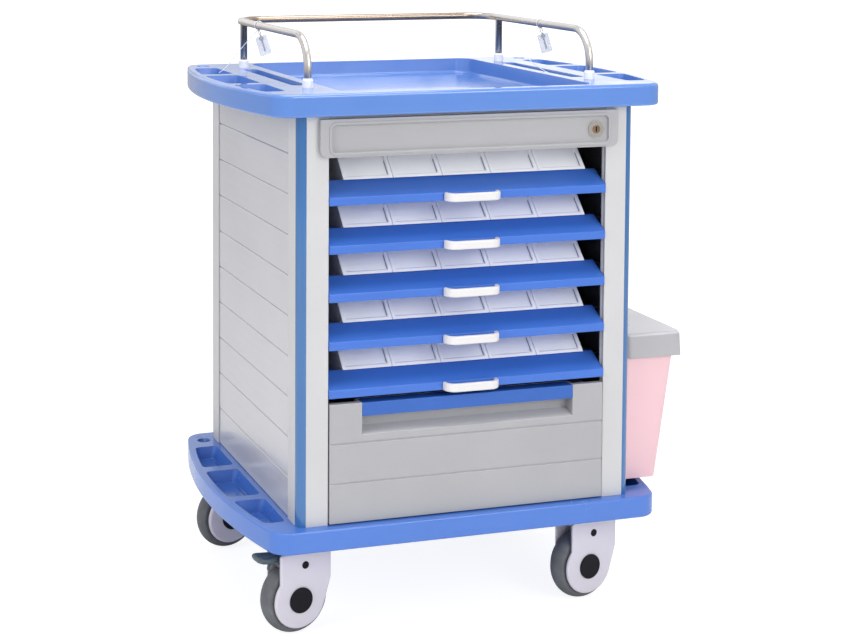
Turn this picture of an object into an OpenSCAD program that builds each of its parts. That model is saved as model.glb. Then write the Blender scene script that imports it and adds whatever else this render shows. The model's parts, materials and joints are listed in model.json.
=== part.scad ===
// Instrument cart: a clinic trolley with a lockable top drawer, five pull-out
// shelves of bins, a deep bottom drawer, a side waste bin and four casters.
// +X is the right-hand side seen from the front, -Y is the front and +Z is up.
// The origin is on the floor, under the middle of the body.

/* [Body] */
// Width over the flat side faces of the corner posts
body_w = 588; // [580:2:600]
// Depth over the front and rear faces of the corner posts
body_d = 520; // [514:2:530]
// Height of one slat of the side and back walls
slat_pitch = 66; // [60:1:72]
// Number of slats in a wall
slat_count = 10; // [10:1:11]
// Reach of each leg of a corner post from its corner
post_leg = 51; // [46:1:54]
// Thickness of a post leg, which is also the radius of its corner
post_t = 14; // [13:1:15]
// Thickness of the coloured strip in each corner
strip_t = 5; // [3:0.5:6]

/* [Trays] */
// Depth of the top and base trays
tray_d = 560; // [556:2:580]
// Half width of the trays at the middle of their bowed sides
tray_half_w = 374; // [366:1:380]
// Radius of the bow of the sides in plan
bow_r = 992; // [900:1:1100]
// Corner radius of the trays in plan
tray_corner_r = 35; // [25:1:40]
// Width of the rim outside the small pockets
rim_w = 12; // [9:1:14]
// Thickness of the top tray
tray_t = 37; // [34:1:44]
// Thickness of the base tray
base_t = 36; // [32:1:38]
// Depth of the main recess of the top tray
recess_depth = 28; // [20:1:30]
// Radius of the pole holes in the rear corners of both trays
pole_r = 12; // [9:0.5:13]

/* [Guard rail] */
// Diameter of the stainless tube
rail_d = 13; // [12:1:16]
// Height of the tube's centre line above the top tray
rail_rise = 83; // [80:1:110]
// Half the distance between the left and right tubes
rail_x = 252; // [250:0.5:254]
// Place of the front posts along Y
rail_front_y = -180; // [-190:1:-174]
// Place of the rear posts along Y
rail_rear_y = 188; // [182:1:190]
// Centre line of the rear cross tube along Y
rail_back_y = 249; // [245:1:254]

/* [Drawers and shelves] */
// Gap between a shelf and the post beside it
side_gap = 0.8; // [0.6:0.2:3]
// Height of the top shelf's lip above the base tray
shelf_rise = 530; // [526:1:532]
// Distance between shelves
shelf_pitch = 77.5; // [77:0.5:78]
// Height of a shelf's front lip
lip_h = 14; // [12:1:15]
// Rise of the sloping apron behind the lip
apron_rise = 20; // [16:1:21]
// Depth of the sloping apron
apron_run = 42; // [38:1:43]
// Bins on each shelf
bin_count = 5; // [5:1:6]
// Width of the row of bins
bin_row_w = 430; // [420:1:434]
// Length of a shelf handle
handle_w = 96; // [80:1:120]
// How far a handle stands out from the lip
handle_out = 22; // [20:1:26]
// Height of the bottom drawer's top above the base tray
bottom_drawer_rise = 196; // [192:1:198]
// Width of the grip in the bottom drawer
grip_w = 372; // [340:1:380]

/* [Waste bin] */
// Height of the bin without its lid
waste_h = 211; // [190:1:220]
// Reach of the bin from its inner wall at the rim
waste_w = 93; // [88:1:96]
// Length of the bin along the cart
waste_len = 230; // [220:1:236]
// Height of the lid
lid_h = 42; // [36:1:44]

/* [Casters] */
// Wheel diameter
wheel_d = 118; // [112:1:120]
// Width of the tyre
tyre_w = 32; // [28:1:33]
// Distance of each swivel axis from the middle along X
caster_x = 258; // [250:1:262]
// Distance of each swivel axis from the middle along Y
caster_y = 201; // [192:1:205]
// Offset of the wheel behind its swivel axis
trail = 26; // [22:1:30]
// Height of the base tray above the wheel's centre
caster_rise = 93.5; // [92:0.5:96]
// Angle at which the casters stand at rest
caster_turn = 13; // [0:1:30]

/* [Hidden] */
$fn = 64;
fn_bow = 360;
eps = 0.02;
FL = [-1, -1];
FR = [1, -1];
RL = [-1, 1];
RR = [1, 1];

// Body and tray levels
half_w = body_w / 2;
half_d = body_d / 2;
wheel_r = wheel_d / 2;
base_z = wheel_r + caster_rise;
body_z = base_z + base_t;
body_h = slat_pitch * slat_count;
tray_z = body_z + body_h;
top_z = tray_z + tray_t;
open_half = half_w - post_leg;
shelf_top_z = body_z + shelf_rise;
bottom_drawer_z = body_z + bottom_drawer_rise;

// Corner posts and wall slats
chamber_gap = 2.5;
slot_depth = 8;
slot_in = 1.9;
slat_t = 6;
slat_play = 0.1;
slat_seam = 0.6;
slat_chamfer = 1.2;
screw_in = 21;
screw_r = 2;
screw_grip = 14;
screw_hole = 24;
screw_head_r = 4.5;
screw_head_h = 3;
screw_play = 0.1;

// Inner frame and runners
liner_x = 262;
liner_t = 2;
liner_half_l = 240;
flange_w = 18;
flange_slot = [8, 22];
flange_end = 30;
cross_rail_h = 13;
cross_rail_d = 12;
runner_t = 1.5;
runner_front = -210;
runner_back = 232;
runner_foot = 37;
runner_cap = 26;
runner_up = 16;
runner_gap = 1;

// Shelves and bins
shelf_half_w = open_half - side_gap;
shelf_front = -half_d - 3;
shelf_back = 235;
shelf_wall = 4;
bed_drop = 8;
crest_w = 4;
side_wall_h = 18;
bin_shift = 8;
bin_wall = 2;
bin_gap = 1;
bin_top = 55.5;
bin_back = 225;
bin_front_wall = 3;
label_edge = 6;
label_proud = 2.4;
handle_wall = 6.5;

// Top drawer and its lock
panel_half_w = 260;
panel_bottom = tray_z - 66;
panel_top = tray_z - 5;
panel_t = 9;
panel_gap = 1;
panel_corner = 12;
panel_recess = 4;
recess_in = 18;
recess_low = 7;
recess_high = 9;
recess_r = 8;
bead_w = 3.5;
bead_h = 1.8;
box_t = 2;
top_box_half_w = 234;
top_box_low = tray_z - 58;
top_box_high = tray_z - 18;
top_box_wall_y = -240;
lock_x = 220;
lock_z = tray_z - 37;
lock_r = 11;
lock_ring_r = 14;
lock_play = 0.15;
nut_r = lock_r + 1.9;
plug_r = 7;
plug_play = 0.1;
cam_len = 30;
cam_w = 12;
cam_t = 2.5;
cam_y = -245.6;

// Bottom drawer
bottom_front_t = 12;
bottom_low = body_z + 2;
bottom_half_w = open_half - 2;
groove_w = 2.5;
groove_d = 2;
grip_h = 22;
grip_cavity_h = 30;
grip_depth = 26;
pocket_wall = 4;
bottom_box_half_w = 226;
bottom_box_high = bottom_drawer_z - 8;
slide_low = body_z + 72;
slide_h = 34;
slide_t = 6;
slide_gap = 2;

// Waste bin
waste_x = 303;
waste_y = -224;
waste_z = body_z + 10;
waste_wall = 2.5;
waste_taper = 26;
waste_corner = 10;
waste_top = waste_z + waste_h;
hinge_x = 302;
hinge_z = waste_top + 38;
hinge_r = 2.5;
hinge_play = 0.1;
barrel_r = 4.5;
ear_t = 6;
ear_r = 4;
ear_root = 16;
bracket_t = 2.5;
bracket_y = [-180, -40];
hook_z = waste_top - 27;
hook_in = 10;
hook_gap = 3.6;
hook_t = 2;
hook_web = 3;
hook_drop = 15;
lip_seat = 22;
lip_out = 8.5;
lip_t = 1.9;
plate_low = 55;
plate_high = 5;

// Casters
fork_in = tyre_w / 2 + 2.5;
fork_out = fork_in + 5.5;
fork_top = 79;
cover_r = 47;
cover_front = 58;
cover_back = -37;
cover_knee = 28;
bridge_back = -18;
bridge_low = 62;
shield_low = 36;
shield_t = 4;
axle_r = 6;
axle_play = 0.1;
axle_cap_r = 21;
axle_cap_t = 3;
hub_r = 41;
king_r = 6;
king_len = 13.5;
neck_r = 21;
king_play = 0.2;
race_z = wheel_r + fork_top + 2;
race_r = 25;
flange_r = 33;
flange_t = 4;
pedal_x = -30;
pedal_z = 69;
pedal_tip = -67;
pedal_pin_half = fork_in + 3;
pedal_boss_r = 6;
pedal_pin_r = 3;
pedal_pin_play = 0.1;
pedal_half_w = 14;
shoe_len = 15;
shoe_half_w = 3;
shoe_angle = 273;

// ---------- helpers ----------

// Puts its child on the left and the right side
module both_sides() {
    children();
    mirror([1, 0, 0]) children();
}

// Puts its child in all four corners
module four_corners() {
    both_sides() {
        children();
        mirror([0, 1, 0]) children();
    }
}

// Extrudes a (y, z) outline along X, centred
module along_x(length) {
    rotate([90, 0, 90]) linear_extrude(length, center = true) children();
}

// Extrudes an (x, z) outline along Y, centred
module along_y(length) {
    rotate([90, 0, 0]) linear_extrude(length, center = true) children();
}

// A box from its lowest corner to its highest corner
module block(low, high) {
    translate(low) cube(high - low);
}

// A rectangle with round corners, from its lowest corner to its highest
module round_rect(low, high, r) {
    translate([low[0] + r, low[1]]) square([high[0] - low[0] - 2 * r, high[1] - low[1]]);
    translate([low[0], low[1] + r]) square([high[0] - low[0], high[1] - low[1] - 2 * r]);
    for (x = [low[0] + r, high[0] - r])
        for (y = [low[1] + r, high[1] - r]) translate([x, y]) circle(r);
}

// ---------- trays ----------

bow_x = tray_half_w - bow_r;
corner_y = tray_d / 2 - tray_corner_r;
corner_x = bow_x + sqrt(pow(bow_r - tray_corner_r, 2) - pow(corner_y, 2));
tangent_y = corner_y * bow_r / (bow_r - tray_corner_r);

// Half of the area inside one bowed side, between two values of y
module bow(x_low, y_low, y_high, inset = 0) {
    intersection() {
        translate([bow_x, 0]) circle(bow_r - inset, $fn = fn_bow);
        translate([x_low, y_low]) square([tray_half_w - x_low + 1, y_high - y_low]);
    }
}

module tray_outline() {
    square([2 * corner_x, tray_d], center = true);
    both_sides() {
        bow(0, -tangent_y, tangent_y);
        for (y = [-corner_y, corner_y]) translate([corner_x, y]) circle(tray_corner_r);
    }
}

// The three pockets beside the body, on the right-hand side
module side_pockets() {
    for (y = pocket_y) bow(pocket_x, y[0], y[1], rim_w);
}

pocket_x = half_w + 8;
pocket_y = [[-222, -106], [-84, 56], [80, 195]];
pole_at = [316, 233];
pocket_depth = 22;
under_depth = 18;
under_half = [210, 250];
drain_r = 3;
drain_x = 322;
recess_half = [220, 262];
recess_corner = 26;
rail_slot_half_w = 13;
rail_slot_y = [-142, 152];
rail_slot_r = 10;
rail_socket = 23;
rail_socket_play = 0.1;

module base_tray() {
    color("royalblue") difference() {
        translate([0, 0, base_z]) linear_extrude(base_t) tray_outline();
        translate([0, 0, body_z - pocket_depth]) linear_extrude(pocket_depth + 1)
            both_sides() side_pockets();
        translate([0, 0, base_z - 1]) linear_extrude(under_depth + 1)
            round_rect(-under_half, under_half, recess_corner);
        both_sides() {
            translate([pole_at[0], pole_at[1], base_z - 1]) cylinder(h = base_t + 2, r = pole_r);
            for (y = pocket_y)
                translate([drain_x, (y[0] + y[1]) / 2, base_z - 1]) cylinder(h = base_t, r = drain_r);
        }
        four_corners() translate([half_w - screw_in, half_d - screw_in, base_z - 1])
            cylinder(h = base_t + 2, r = screw_r + screw_play);
    }
}

module top_tray() {
    color("royalblue") difference() {
        translate([0, 0, tray_z]) linear_extrude(tray_t) tray_outline();
        translate([0, 0, top_z - recess_depth]) linear_extrude(recess_depth + 1)
            round_rect(-recess_half, recess_half, recess_corner);
        translate([0, 0, top_z - pocket_depth]) linear_extrude(pocket_depth + 1)
            both_sides() {
                side_pockets();
                round_rect([rail_x - rail_slot_half_w, rail_slot_y[0]],
                           [rail_x + rail_slot_half_w, rail_slot_y[1]], rail_slot_r);
            }
        both_sides() {
            translate([pole_at[0], pole_at[1], tray_z - 1]) cylinder(h = tray_t + 2, r = pole_r);
            for (y = [rail_front_y, rail_rear_y])
                translate([rail_x, y, top_z - rail_socket])
                    cylinder(h = rail_socket + 1, r = rail_d / 2 + rail_socket_play);
        }
    }
}

// ---------- guard rail ----------

rail_z = top_z + rail_rise;
rail_bend_r = 55;
rail_corner_r = 50;

// The rail's centre line swept with a round bar of radius r
module rail_bar(r) {
    foot_z = top_z - rail_socket;
    both_sides() {
        translate([rail_x, rail_front_y, foot_z])
            cylinder(h = rail_z - rail_bend_r - foot_z, r = r);
        translate([rail_x, rail_front_y + rail_bend_r, rail_z - rail_bend_r])
            rotate([90, 0, -90]) rotate_extrude(angle = 90) translate([rail_bend_r, 0]) circle(r);
        translate([rail_x, rail_front_y + rail_bend_r, rail_z]) rotate([-90, 0, 0])
            cylinder(h = rail_back_y - rail_corner_r - rail_front_y - rail_bend_r, r = r);
        translate([rail_x - rail_corner_r, rail_back_y - rail_corner_r, rail_z])
            rotate_extrude(angle = 90) translate([rail_corner_r, 0]) circle(r);
        translate([rail_x, rail_rear_y, foot_z]) cylinder(h = rail_z - foot_z, r = r);
    }
    translate([0, rail_back_y, rail_z]) rotate([0, 90, 0])
        cylinder(h = 2 * (rail_x - rail_corner_r), r = r, center = true);
}

module guard_rail() {
    color("silver") rail_bar(rail_d / 2);
}

module rail_ferrules() {
    ferrule_r = rail_d / 2 + 2.5;
    ferrule_h = 12;
    cone_h = 3;
    color("white") both_sides() for (y = [rail_front_y, rail_rear_y])
        translate([rail_x, y, top_z]) difference() {
            union() {
                cylinder(h = ferrule_h, r = ferrule_r);
                translate([0, 0, ferrule_h]) cylinder(h = cone_h, r1 = ferrule_r, r2 = ferrule_r - 2);
            }
            translate([0, 0, -1])
                cylinder(h = ferrule_h + cone_h + 2, r = rail_d / 2 + rail_socket_play);
        }
}

// ---------- corner posts and walls ----------

// Section of a post whose outer corner is at the origin, with its legs towards -x and -y
module post_section() {
    module leg() {
        difference() {
            translate([-post_leg, -post_t]) square([post_leg - post_t, post_t]);
            translate([-post_leg - 1, -slot_in - slat_t - 2 * slat_play])
                square([slot_depth + 1, slat_t + 2 * slat_play]);
            translate([-post_leg + slot_depth + chamber_gap, -post_t + chamber_gap])
                square([post_leg - slot_depth - post_t - 2 * chamber_gap, post_t - 2 * chamber_gap]);
        }
    }
    leg();
    mirror([1, -1]) leg();
    translate([-2 * post_t, -2 * post_t]) square(post_t);
    intersection() {
        translate([-post_t, -post_t]) circle(post_t - strip_t);
        translate([-post_t, -post_t]) square(post_t);
    }
}

module corner_posts() {
    color("whitesmoke") four_corners() difference() {
        translate([half_w, half_d, body_z]) linear_extrude(body_h) post_section();
        translate([half_w - screw_in, half_d - screw_in, body_z - 1])
            cylinder(h = screw_hole, r = screw_r + screw_play);
    }
}

module corner_strips() {
    color("steelblue") four_corners() translate([half_w - post_t, half_d - post_t, body_z])
        linear_extrude(body_h) intersection() {
            difference() {
                circle(post_t);
                circle(post_t - strip_t);
            }
            square(post_t);
        }
}

// One wall slat standing in the y-z plane, its outer face towards +x
module slat(length) {
    h = slat_pitch - slat_seam;
    c = slat_chamfer;
    along_y(length) polygon([[0, 0], [slat_t - c, 0], [slat_t, c], [slat_t, h - c], [slat_t - c, h],
                             [0, h]]);
}

slat_inset = slot_in + slat_play + slat_t;

module side_slats() {
    color("gainsboro") difference() {
        both_sides() for (i = [0 : slat_count - 1])
            translate([half_w - slat_inset, 0, body_z + i * slat_pitch + slat_seam / 2])
                slat(2 * (half_d - post_leg + slot_depth) - 1);
        at_bracket_screws() bracket_screw_hole();
    }
}

module back_slats() {
    color("gainsboro") for (i = [0 : slat_count - 1])
        translate([0, half_d - slat_inset, body_z + i * slat_pitch + slat_seam / 2])
            rotate([0, 0, 90]) slat(2 * (half_w - post_leg + slot_depth) - 1);
}

// Two slotted side liners and the cross rail that the lock's cam holds on to
module inner_frame() {
    slot_pitch = shelf_pitch / 2;
    color("darkgray") {
        both_sides() difference() {
            union() {
                block([liner_x, -liner_half_l, body_z], [liner_x + liner_t, liner_half_l, tray_z]);
                block([liner_x + liner_t - flange_w, -liner_half_l - liner_t, body_z],
                      [liner_x + liner_t, -liner_half_l, tray_z]);
            }
            for (z = [body_z + flange_end : slot_pitch : tray_z - flange_end])
                translate([liner_x - (flange_w + flange_slot[0]) / 2, -liner_half_l - 2 * liner_t, z])
                    cube([flange_slot[0], 3 * liner_t, flange_slot[1]]);
        }
        block([-open_half, -half_d + 1, tray_z - cross_rail_h],
              [open_half, -half_d + 1 + cross_rail_d, tray_z]);
    }
}

// C-shaped runners under the five shelves and angle runners under the top drawer
module shelf_runners() {
    runner_l = runner_back - runner_front;
    mid_y = (runner_back + runner_front) / 2;
    color("dimgray") both_sides() {
        for (i = [0 : 4])
            translate([liner_x, mid_y, shelf_top_z - i * shelf_pitch]) along_y(runner_l) union() {
                low = -lip_h - runner_gap - runner_t;
                high = side_wall_h - bed_drop + runner_gap;
                translate([-runner_foot, low]) square([runner_foot, runner_t]);
                translate([-runner_t, low]) square([runner_t, high + runner_t - low]);
                translate([-runner_cap, high]) square([runner_cap, runner_t]);
            }
        translate([liner_x, mid_y, top_box_low - runner_gap]) along_y(runner_l) union() {
            translate([-runner_foot, -runner_t]) square([runner_foot, runner_t]);
            translate([-runner_t, -runner_t]) square([runner_t, runner_up]);
        }
    }
}

// Screws up through the base tray into the posts, and the four that hold the bin's bracket
module frame_screws() {
    color("silver") {
        four_corners() translate([half_w - screw_in, half_d - screw_in, base_z]) {
            translate([0, 0, -screw_head_h]) cylinder(h = screw_head_h, r = screw_head_r);
            cylinder(h = base_t + screw_grip, r = screw_r);
        }
        at_bracket_screws() {
            translate([0, 0, bracket_t]) cylinder(h = screw_head_h - 1, r = screw_head_r);
            translate([0, 0, 0.5 - slat_t]) cylinder(h = slat_t + bracket_t, r = screw_r);
        }
    }
}

// ---------- top drawer and lock ----------

panel_front = -half_d - panel_gap - panel_t;

// Outline of the top drawer's front in (x, z), pulled in by d
module panel_outline(d) {
    low = [-panel_half_w + d, panel_bottom + d];
    high = [panel_half_w - d, panel_top - d];
    round_rect(low, high, panel_corner - d);
    translate([low[0], (low[1] + high[1]) / 2])
        square([high[0] - low[0], (high[1] - low[1]) / 2]);
}

module panel_recess_outline(grow) {
    round_rect([-panel_half_w + recess_in - grow, panel_bottom + recess_low - grow],
               [panel_half_w - recess_in + grow, panel_top - recess_high + grow], recess_r + grow);
}

module top_drawer_front() {
    color("silver") difference() {
        union() {
            translate([0, panel_front + panel_t / 2, 0]) along_y(panel_t) panel_outline(0);
            translate([0, panel_front - bead_h / 2 + eps, 0]) along_y(bead_h)
                panel_recess_outline(bead_w);
        }
        translate([0, panel_front - bead_h + (panel_recess + bead_h) / 2, 0])
            along_y(panel_recess + bead_h + eps) panel_recess_outline(0);
        translate([lock_x, panel_front - 10, lock_z]) rotate([-90, 0, 0])
            cylinder(h = 40, r = lock_r + lock_play);
    }
}

module top_drawer_box() {
    w = top_box_half_w;
    back = runner_back;
    front = -half_d - panel_gap;
    color("lightgray") {
        block([-w, top_box_wall_y, top_box_low], [w, back, top_box_low + box_t]);
        block([-w, top_box_wall_y, top_box_low], [w, top_box_wall_y + box_t, top_box_high]);
        block([-w, back - box_t, top_box_low], [w, back, top_box_high]);
        both_sides() block([w - box_t, front, top_box_low], [w, back, top_box_high]);
    }
}

lock_face_y = panel_front + panel_recess;
lock_back_y = cam_y - 0.4;

// Barrel of the cam lock, with its ring in front and its nut behind the panel
module lock_barrel() {
    ring_t = 3;
    nut_t = 4;
    color("gainsboro") translate([lock_x, 0, lock_z]) rotate([-90, 0, 0]) difference() {
        union() {
            translate([0, 0, lock_face_y - ring_t]) cylinder(h = ring_t, r = lock_ring_r);
            translate([0, 0, lock_face_y - eps]) cylinder(h = lock_back_y - lock_face_y, r = lock_r);
            translate([0, 0, -half_d - panel_gap]) rotate(30)
                cylinder(h = nut_t, r = nut_r, $fn = 6);
        }
        translate([0, 0, lock_face_y - 20]) cylinder(h = 60, r = plug_r + plug_play);
    }
}

// Plug that turns in the barrel, with a keyway in its face
module lock_plug() {
    face = lock_face_y - 3.4;
    color("tan") translate([lock_x, 0, lock_z]) rotate([-90, 0, 0]) difference() {
        translate([0, 0, face]) cylinder(h = cam_y - face, r = plug_r);
        translate([-1, -4.5, face - 1]) cube([2, 9, 9]);
    }
}

// Cam on the plug's rear end: it points to the left when unlocked
module lock_cam() {
    color("silver") translate([lock_x, cam_y + cam_t / 2, lock_z]) along_y(cam_t) union() {
        circle(cam_w / 2 + 1);
        translate([-cam_len, -cam_w / 2]) square([cam_len, cam_w]);
    }
}

// ---------- shelves, handles and bins ----------

function lip_z(i) = shelf_top_z - (i - 1) * shelf_pitch;

// Section of a shelf in (y, z), with z = 0 at the top of its lip
module shelf_section() {
    f = shelf_front;
    crest = f + apron_run;
    t = shelf_wall;
    polygon([
        [f, -lip_h], [f, -1.5], [f + 1.5, 0], [crest, apron_rise], [crest + crest_w, apron_rise],
        [crest + crest_w, -bed_drop], [shelf_back, -bed_drop], [shelf_back, -lip_h],
        [crest + 1, -lip_h], [crest + 1, apron_rise - 2 * t], [f + t, -t], [f + t, -lip_h]
    ]);
}

module shelf(i) {
    wall_front = shelf_front + apron_run;
    color("royalblue") translate([0, 0, lip_z(i)]) {
        along_x(2 * shelf_half_w) shelf_section();
        both_sides() block([shelf_half_w - shelf_wall, wall_front, -lip_h],
                           [shelf_half_w, shelf_back, side_wall_h - bed_drop]);
        block([-shelf_half_w, shelf_back - shelf_wall, -lip_h],
              [shelf_half_w, shelf_back, side_wall_h - bed_drop]);
    }
}

// A white bow handle on the lip of shelf i
module handle(i) {
    r = handle_out - 4;
    x = handle_w / 2 - r;
    color("white") translate([0, shelf_front, lip_z(i) - lip_h]) linear_extrude(lip_h) {
        translate([-x, -handle_out]) square([2 * x, handle_wall]);
        both_sides() {
            translate([x, -4]) intersection() {
                difference() {
                    circle(r);
                    circle(r - handle_wall);
                }
                translate([0, -r]) square(r);
            }
            translate([x + r - handle_wall, -4]) square([handle_wall, 4]);
        }
    }
}

bin_pitch = bin_row_w / bin_count;
bin_foot_y = shelf_front + apron_run + crest_w + 3;
bin_lip_y = shelf_front + apron_run - 3;
bin_lip_z = apron_rise + 1.5;
bin_low = -bed_drop + 0.2;

// One bin of a shelf, as a trough with a front that leans back 45 degrees
module bin() {
    w = bin_pitch - bin_gap;
    slope = bin_lip_y - bin_lip_z;
    in_slope = slope + bin_front_wall * sqrt(2);
    in_y = bin_foot_y + bin_front_wall;
    up = bin_top + 5;
    out = label_proud * sqrt(2);
    difference() {
        along_x(w) polygon([[bin_foot_y, bin_low], [bin_foot_y, bin_lip_z], [bin_lip_y, bin_lip_z],
                            [slope + bin_top, bin_top], [bin_back, bin_top], [bin_back, bin_low]]);
        along_x(w - 2 * bin_wall) polygon([
            [in_y, bin_low + bin_wall], [in_y, in_y - in_slope], [in_slope + up, up],
            [bin_back - bin_wall, up], [bin_back - bin_wall, bin_low + bin_wall]
        ]);
    }
    both_sides() translate([(w - label_edge) / 2, 0, 0]) along_x(label_edge) polygon([
        [bin_lip_y, bin_lip_z], [bin_lip_y - out, bin_lip_z], [slope + bin_top - out, bin_top],
        [slope + bin_top, bin_top]
    ]);
    along_x(w) polygon([[bin_lip_y, bin_lip_z], [bin_lip_y - out, bin_lip_z],
                        [bin_lip_y - out + 4, bin_lip_z + 4], [bin_lip_y + 4, bin_lip_z + 4]]);
}

module bins(i) {
    color("white") for (k = [0 : bin_count - 1])
        translate([bin_shift + (k - (bin_count - 1) / 2) * bin_pitch, 0, lip_z(i)]) bin();
}

// ---------- bottom drawer ----------

bottom_front_y = -half_d - 3;
grip_half_w = grip_w / 2;
cavity_low = bottom_drawer_z - grip_h - grip_cavity_h;
groove_pitch = (bottom_drawer_z - bottom_low) / 3;

// Front in three slats, with a pocket behind the grip
module bottom_drawer_front() {
    back = bottom_front_y + bottom_front_t;
    pocket_back = bottom_front_y + grip_depth;
    c = grip_half_w + pocket_wall;
    color("silver") difference() {
        union() {
            block([-bottom_half_w, bottom_front_y, bottom_low], [bottom_half_w, back, bottom_drawer_z]);
            block([-c, back - 1, cavity_low - pocket_wall],
                  [c, pocket_back + pocket_wall, bottom_drawer_z]);
        }
        along_x(2 * grip_half_w) polygon([
            [bottom_front_y - 1, cavity_low], [pocket_back, cavity_low + 9],
            [pocket_back, bottom_drawer_z + 1], [bottom_front_y - 1, bottom_drawer_z + 1]
        ]);
        for (k = [1, 2]) translate([0, bottom_front_y, bottom_low + k * groove_pitch])
            cube([2 * bottom_half_w + 2, 2 * groove_d, groove_w], center = true);
    }
}

// Blue grip bar across the top of the pocket, hooked in section
module bottom_drawer_grip() {
    t = 4;
    f = bottom_front_y - 1;
    back = bottom_front_y + grip_depth;
    low = bottom_drawer_z - grip_h;
    color("royalblue") along_x(2 * grip_half_w) polygon([
        [f, low], [f, bottom_drawer_z], [back, bottom_drawer_z], [back, bottom_drawer_z - t],
        [f + 2 * t, bottom_drawer_z - t], [f + t, bottom_drawer_z - 2 * t], [f + t, low]
    ]);
}

module bottom_drawer_box() {
    w = bottom_box_half_w;
    front = bottom_front_y + bottom_front_t;
    notch = grip_half_w + pocket_wall + 1;
    low = bottom_low + 4;
    color("lightgray") {
        block([-w, front, low], [w, runner_back, low + box_t]);
        block([-w, runner_back - box_t, low], [w, runner_back, bottom_box_high]);
        both_sides() block([w - box_t, front, low], [w, runner_back, bottom_box_high]);
        difference() {
            block([-w, front, low], [w, front + box_t, bottom_box_high]);
            block([-notch, front - 1, cavity_low - pocket_wall - 1],
                  [notch, front + 10, bottom_box_high + 1]);
        }
    }
}

// Fixed slide members with the brackets that hold them to the liners
module bottom_slides_fixed() {
    x = bottom_box_half_w + slide_t + slide_gap;
    mid = slide_low + slide_h / 2;
    color("silver") both_sides() {
        block([x, -235, slide_low], [x + slide_t, runner_back, slide_low + slide_h]);
        for (y = [-190, 170]) block([x + slide_t - 1, y, mid - 8], [liner_x, y + 22, mid + 8]);
    }
}

module bottom_slides_inner() {
    x = bottom_box_half_w;
    color("lightgray") both_sides() block([x, -245, slide_low + 4],
                                          [x + slide_t, 222, slide_low + slide_h - 4]);
}

// ---------- waste bin ----------

bracket_x = half_w - slot_in - slat_play;
bracket_screw_y = [bracket_y[0] + 15, bracket_y[1] - 15];
bracket_screw_z = [hook_z - 45, hook_z - 28];

// Places its child at each screw of the bracket, with +z pointing out of the wall
module at_bracket_screws() {
    for (y = bracket_screw_y)
        for (z = bracket_screw_z) translate([bracket_x, y, z]) rotate([0, 90, 0]) children();
}

module bracket_screw_hole() {
    translate([0, 0, -2 * slat_t]) cylinder(h = 4 * slat_t, r = screw_r + screw_play);
}

// Closed body of a tapered tub: the inner wall is upright and the other three lean
module tub(low_z, high_z, inset) {
    function lean(z) = (waste_top - z) / waste_h;
    hull() for (z = [low_z, high_z - 0.1])
        for (x = [waste_x + inset + waste_corner,
                  waste_x + waste_w - inset - waste_corner - waste_taper * lean(z)])
            for (y = [waste_y + inset + waste_corner + 8 * lean(z),
                      waste_y + waste_len - inset - waste_corner - 8 * lean(z)])
                translate([x, y, z]) cylinder(h = 0.1, r = waste_corner, $fn = 32);
}

ear_y = [waste_y + 3, waste_y + waste_len - 3 - ear_t];

module waste_bin() {
    color("pink") {
        difference() {
            tub(waste_z, waste_top, 0);
            tub(waste_z + waste_wall, waste_top + 1, waste_wall);
        }
        for (y = ear_y) difference() {
            union() {
                block([hinge_x - ear_r, y, waste_top - ear_root], [hinge_x + ear_r, y + ear_t, hinge_z]);
                translate([hinge_x, y, hinge_z]) rotate([-90, 0, 0]) cylinder(h = ear_t, r = ear_r);
            }
            translate([hinge_x, y - 1, hinge_z]) rotate([-90, 0, 0])
                cylinder(h = ear_t + 2, r = hinge_r + hinge_play);
        }
        hook_y = [bracket_y[0] + hook_in, bracket_y[1] - hook_in];
        hook_x = bracket_x + hook_gap;
        block([hook_x, hook_y[0], hook_z], [waste_x + 1, hook_y[1], hook_z + hook_web]);
        block([hook_x, hook_y[0], hook_z - hook_drop], [hook_x + hook_t, hook_y[1], hook_z + hook_web]);
    }
}

lid_x = waste_x + 4;
lid_low = waste_top + 1;
lid_over = 14;
lid_lip_y = 5;

// Closed body of the lid, pulled in by d on every side but the bottom
module lid_body(low_z, d) {
    high_z = lid_low + lid_h - d;
    r = 8;
    hull() for (p = [[low_z, 0], [high_z - 6, 1.5], [high_z - 0.1, 4.5]])
        for (x = [lid_x + d + r, waste_x + waste_w + lid_over - d - r - p[1]])
            for (y = [waste_y - lid_lip_y + d + r + p[1], waste_y + waste_len + lid_lip_y - d - r - p[1]])
                translate([x, y, p[0]]) cylinder(h = 0.1, r = r, $fn = 32);
}

module waste_bin_lid() {
    tube_y = [ear_y[0] + ear_t + 1, ear_y[1] - 1];
    tube_l = tube_y[1] - tube_y[0];
    color("darkgray") {
        difference() {
            lid_body(lid_low, 0);
            lid_body(lid_low - 1, waste_wall);
        }
        difference() {
            union() {
                translate([hinge_x, tube_y[0], hinge_z]) rotate([-90, 0, 0])
                    cylinder(h = tube_l, r = barrel_r);
                block([hinge_x, tube_y[0], hinge_z - 2], [lid_x + 2, tube_y[1], hinge_z + 3]);
            }
            translate([hinge_x, tube_y[0] - 1, hinge_z]) rotate([-90, 0, 0])
                cylinder(h = tube_l + 2, r = hinge_r + hinge_play);
        }
    }
}

module waste_bin_pin() {
    color("silver") translate([hinge_x, ear_y[0] - 1, hinge_z]) rotate([-90, 0, 0])
        cylinder(h = ear_y[1] - ear_y[0] + ear_t + 2, r = hinge_r);
}

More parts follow.
